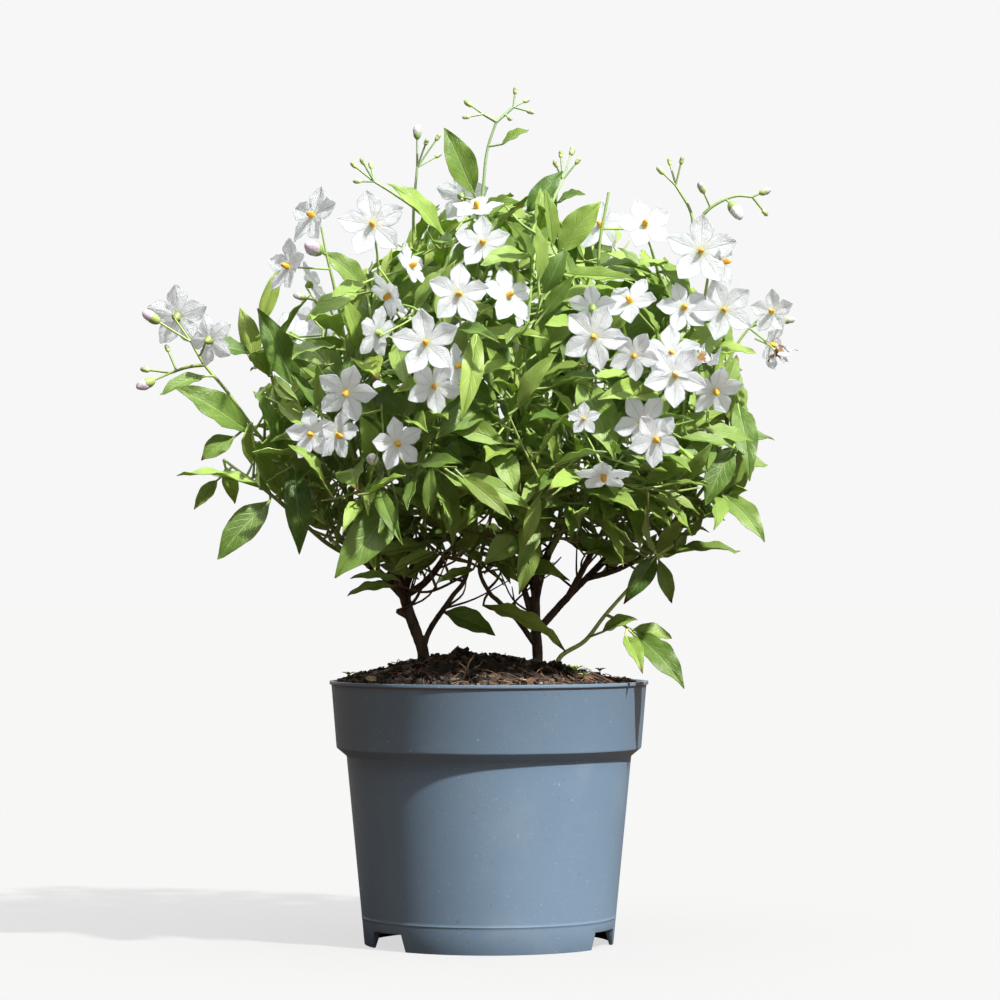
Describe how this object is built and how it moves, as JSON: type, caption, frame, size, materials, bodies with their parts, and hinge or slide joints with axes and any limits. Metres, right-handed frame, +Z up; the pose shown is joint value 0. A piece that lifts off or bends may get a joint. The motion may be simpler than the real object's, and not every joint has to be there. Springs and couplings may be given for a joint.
{
  "type": "potted plant",
  "caption": "Bushy potato vine with narrow leaves and white star flowers, on short woody stems in a round tapered nursery pot full of soil.",
  "frame": {"origin": "middle of the pot's foot, on the surface that the pot stands on", "axes": "+Z up along the pot's axis, -Y towards the plant's front, +X to the right as seen from the front"},
  "size_m": [0.3451, 0.2668, 0.4551],
  "materials": {
    "pot": "satin",
    "soil": "matte",
    "bark": "matte",
    "foliage": "satin",
    "petals": "matte",
    "anthers": "matte"
  },
  "bodies": {
    "root": {"pot": "pot", "soil": "soil", "wood_left": "bark", "wood_right": "bark", "shoot_far_left": "foliage", "shoot_low_left": "foliage", "shoot_left_high": "foliage", "shoot_top_left": "foliage", "shoot_front_left": "foliage", "shoot_front": "foliage", "shoot_back_left": "foliage", "shoot_back_middle": "foliage", "shoot_middle": "foliage", "shoot_top": "foliage", "shoot_centre": "foliage", "shoot_cut": "foliage", "shoot_front_right": "foliage", "shoot_back_centre": "foliage", "shoot_right_outer": "foliage", "shoot_right_front": "foliage", "shoot_right_top": "foliage", "shoot_far_right": "foliage", "shoot_back_right": "foliage", "shoot_low_front": "foliage", "shoot_sucker": "foliage", "bloom_far_left": "petals", "bloom_left_of_crown": "petals", "bloom_left_top": "petals", "bloom_upper_left": "petals", "bloom_left_edge": "petals", "bloom_left_inner": "petals", "bloom_nodding_left": "petals", "bloom_turned_left": "petals", "bloom_behind_left": "petals", "bloom_front_upper_left": "petals", "bloom_front_upper_right": "petals", "bloom_front_middle": "petals", "bloom_front_lower": "petals", "bloom_top_middle": "petals", "bloom_top_upright": "petals", "bloom_top_turned": "petals", "bloom_cut_stem": "petals", "bloom_right_upright": "petals", "bloom_right_top": "petals", "bloom_right_pair": "petals", "bloom_right_edge": "petals", "bloom_right_inner": "petals", "bloom_right_raised": "petals", "bloom_right_front": "petals", "bloom_right_double": "petals", "bloom_right_nodding": "petals", "bloom_small": "petals", "bloom_lower_pair": "petals", "bloom_hanging": "petals", "bloom_left_raised": "petals", "bloom_left_pair": "petals", "bloom_left_lower": "petals", "bloom_back_left": "petals", "bloom_back_top": "petals", "bloom_back_right": "petals"}
  },
  "joints": []
}
